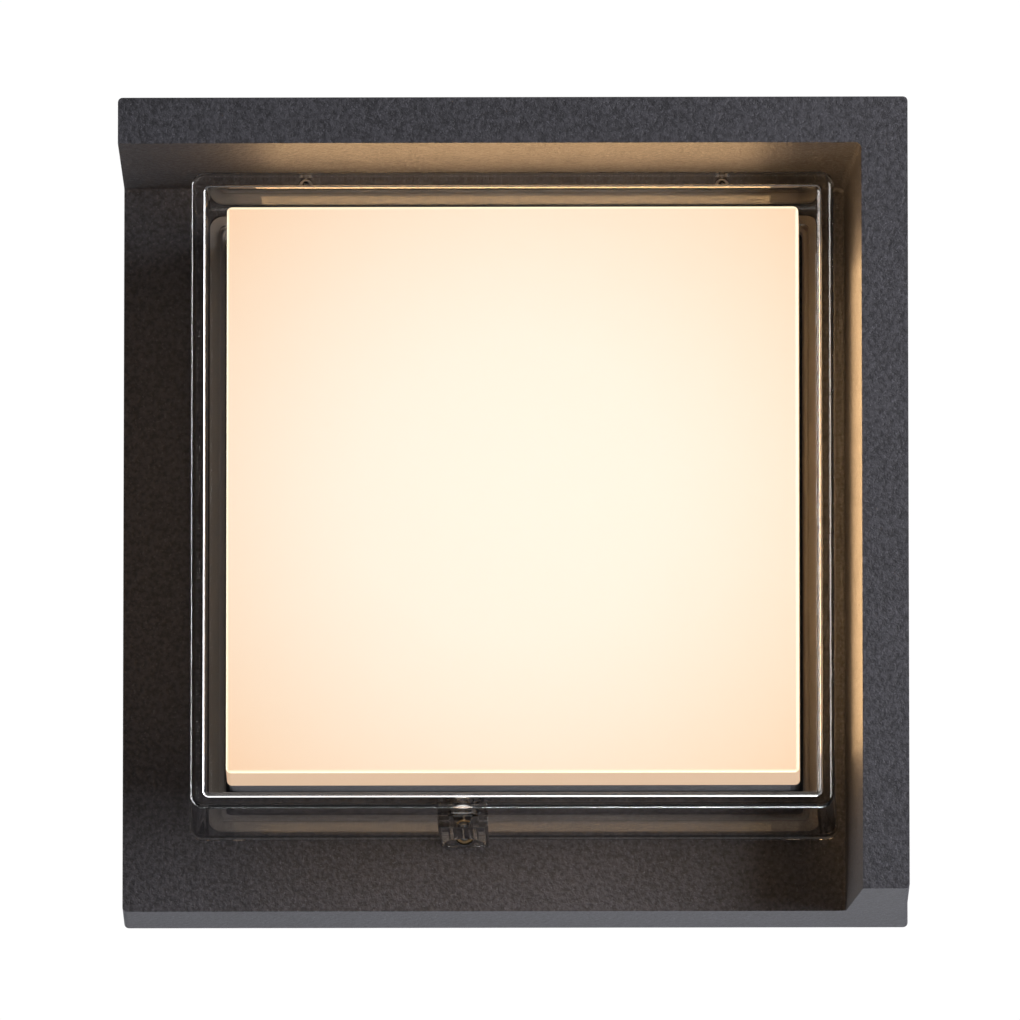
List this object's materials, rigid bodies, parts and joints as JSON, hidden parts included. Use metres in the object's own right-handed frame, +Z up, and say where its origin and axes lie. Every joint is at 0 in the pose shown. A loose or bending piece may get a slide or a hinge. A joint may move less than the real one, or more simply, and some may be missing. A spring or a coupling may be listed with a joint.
{
  "type": "outdoor wall lantern",
  "caption": "Square outdoor wall light with an L-shaped cast hood, a clear box cover over a warm opal diffuser and a wall bracket.",
  "frame": {"origin": "centre of the light's back, on the wall plane, where the bracket lies flat on the wall", "axes": "+Y into the wall, -Y out towards the viewer, +Z up, +X to the viewer's right"},
  "size_m": [0.17, 0.0696, 0.172],
  "materials": {
    "powder_coat": "anthracite textured powder coat on die-cast aluminium",
    "clear_cover": "clear polished acrylic",
    "opal_diffuser": "opal acrylic, lit warm white from behind",
    "galvanised_bracket": "zinc-plated steel",
    "stainless": "stainless steel",
    "brass": "bare brass",
    "mill_aluminium": "mill-finish aluminium sheet",
    "black_rubber": "black silicone rubber",
    "grey_silicone": "pale grey silicone seal",
    "white_plastic": "white moulded polycarbonate",
    "grey_nylon": "grey nylon",
    "black_plastic": "black moulded nylon",
    "circuit_board": "green solder mask",
    "led_board": "white solder mask on aluminium",
    "thermal_pad": "grey heat-conducting silicone",
    "lead_brown": "brown silicone sleeve",
    "lead_blue": "blue silicone sleeve",
    "lead_green": "green silicone sleeve",
    "lead_red": "red silicone sleeve",
    "lead_black": "black silicone sleeve"
  },
  "bodies": {
    "lamp": {"housing": "powder_coat", "opal_diffuser": "opal_diffuser", "wall_bracket": "galvanised_bracket", "driver_screw_1": "galvanised_bracket", "driver_screw_2": "galvanised_bracket", "terminal_fixing_screw": "galvanised_bracket", "earth_ring_terminal": "galvanised_bracket", "led_board_screw_1": "galvanised_bracket", "led_board_screw_2": "galvanised_bracket", "led_board_screw_3": "galvanised_bracket", "led_board_screw_4": "galvanised_bracket", "lid_screw_1": "stainless", "lid_screw_2": "stainless", "lid_screw_3": "stainless", "lid_screw_4": "stainless", "bracket_screw_left": "stainless", "bracket_screw_right": "stainless", "diffuser_clip_1": "stainless", "diffuser_clip_2": "stainless", "diffuser_clip_3": "stainless", "diffuser_clip_4": "stainless", "terminal_screw_live": "brass", "terminal_screw_neutral": "brass", "terminal_screw_earth": "brass", "earth_screw": "brass", "lock_screw_insert": "brass", "rear_lid": "mill_aluminium", "driver_base": "mill_aluminium", "wall_gasket": "black_rubber", "lid_gasket": "black_rubber", "cable_grommet": "black_rubber", "lead_grommet": "black_rubber", "cover_gasket": "grey_silicone", "cover_grip_bush_left": "grey_silicone", "cover_grip_bush_right": "grey_silicone", "driver_case": "white_plastic", "reflector_frame": "white_plastic", "terminal_block": "grey_nylon", "vent_plug": "black_plastic", "driver_board": "circuit_board", "led_board": "led_board", "thermal_pad": "thermal_pad", "lead_live": "lead_brown", "lead_neutral": "lead_blue", "lead_earth": "lead_green", "led_lead_positive": "lead_red", "led_lead_negative": "lead_black"},
    "cover": {"clear_cover": "clear_cover"},
    "lock_screw": {"cover_lock_screw": "stainless"}
  },
  "joints": [
    {"name": "cover_pull", "type": "slide", "parent": "lamp", "child": "cover", "axis": [0, -1, 0], "range_m": [0, 0.045]},
    {"name": "lock_screw_turn", "type": "hinge", "parent": "cover", "child": "lock_screw", "pos_m": [-0.0108, -0.0322, -0.069], "axis": [0, -1, 0], "range_deg": [0, 1080]}
  ]
}
